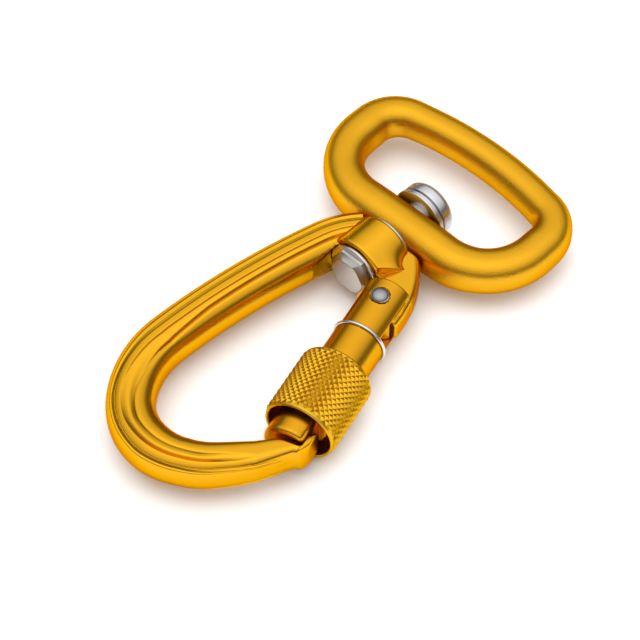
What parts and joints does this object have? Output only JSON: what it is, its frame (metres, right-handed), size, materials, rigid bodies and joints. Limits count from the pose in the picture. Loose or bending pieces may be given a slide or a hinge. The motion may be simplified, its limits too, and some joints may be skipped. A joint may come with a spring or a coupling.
{
  "type": "swivel carabiner hook",
  "caption": "Screw-gate carabiner hook with a sprung gate, a knurled locking sleeve and an oblong webbing ring that swivels on a bolt.",
  "frame": {"origin": "centre of the overall plan, on the surface that the hook lies on", "axes": "+X along the swivel axis from the hook to the webbing ring, +Z normal to the plane of the hook"},
  "size_m": [0.096, 0.05, 0.014],
  "materials": {
    "body_gold": "glossy gold anodised forging",
    "ring_gold": "satin bead-blasted gold anodising",
    "gate_gold": "semi-gloss gold anodising",
    "sleeve_gold": "knurled gold anodising",
    "bolt_steel": "turned steel",
    "washer_steel": "zinc plated steel",
    "dome_steel": "semi-gloss steel",
    "rivet_steel": "polished steel",
    "spring_steel": "spring wire",
    "plunger_steel": "turned steel",
    "wire_steel": "bright spring wire"
  },
  "bodies": {
    "hook": {"carabiner_body": "body_gold", "swivel_bolt": "bolt_steel", "head_washer": "washer_steel", "thrust_washer": "washer_steel", "ring_washer": "washer_steel", "cap_washer": "washer_steel", "dome_nut": "dome_steel"},
    "ring": {"swivel_ring": "ring_gold"},
    "gate": {"gate_tube": "gate_gold", "hinge_rivet": "rivet_steel", "gate_spring": "spring_steel", "sleeve_stop_ring": "wire_steel"},
    "plunger": {"spring_plunger": "plunger_steel"},
    "sleeve": {"locking_sleeve": "sleeve_gold"}
  },
  "joints": [
    {"name": "ring_swivel", "type": "hinge", "parent": "hook", "child": "ring", "pos_m": [0.0219, 0, 0.007], "axis": [1, 0, 0], "continuous": true},
    {"name": "gate_hinge", "type": "hinge", "parent": "hook", "child": "gate", "pos_m": [0.00512, -0.00975, 0.007], "axis": [0, 0, -1], "range_deg": [0, 33], "stiffness_Nm_per_rad": 0.04, "springref_deg": -34.38},
    {"name": "sleeve_slide", "type": "slide", "parent": "gate", "child": "sleeve", "axis": [0.9677, 0.2521, 0], "range_m": [0, 0.007]},
    {"name": "plunger_slide", "type": "slide", "parent": "gate", "child": "plunger", "axis": [-0.9677, -0.2521, 0], "range_m": [0, 0.00101], "deforming": ["gate_spring"]}
  ],
  "couplings": [
    {"joint": "plunger_slide", "follows": "gate_hinge", "m_per_rad": 0.00174}
  ]
}
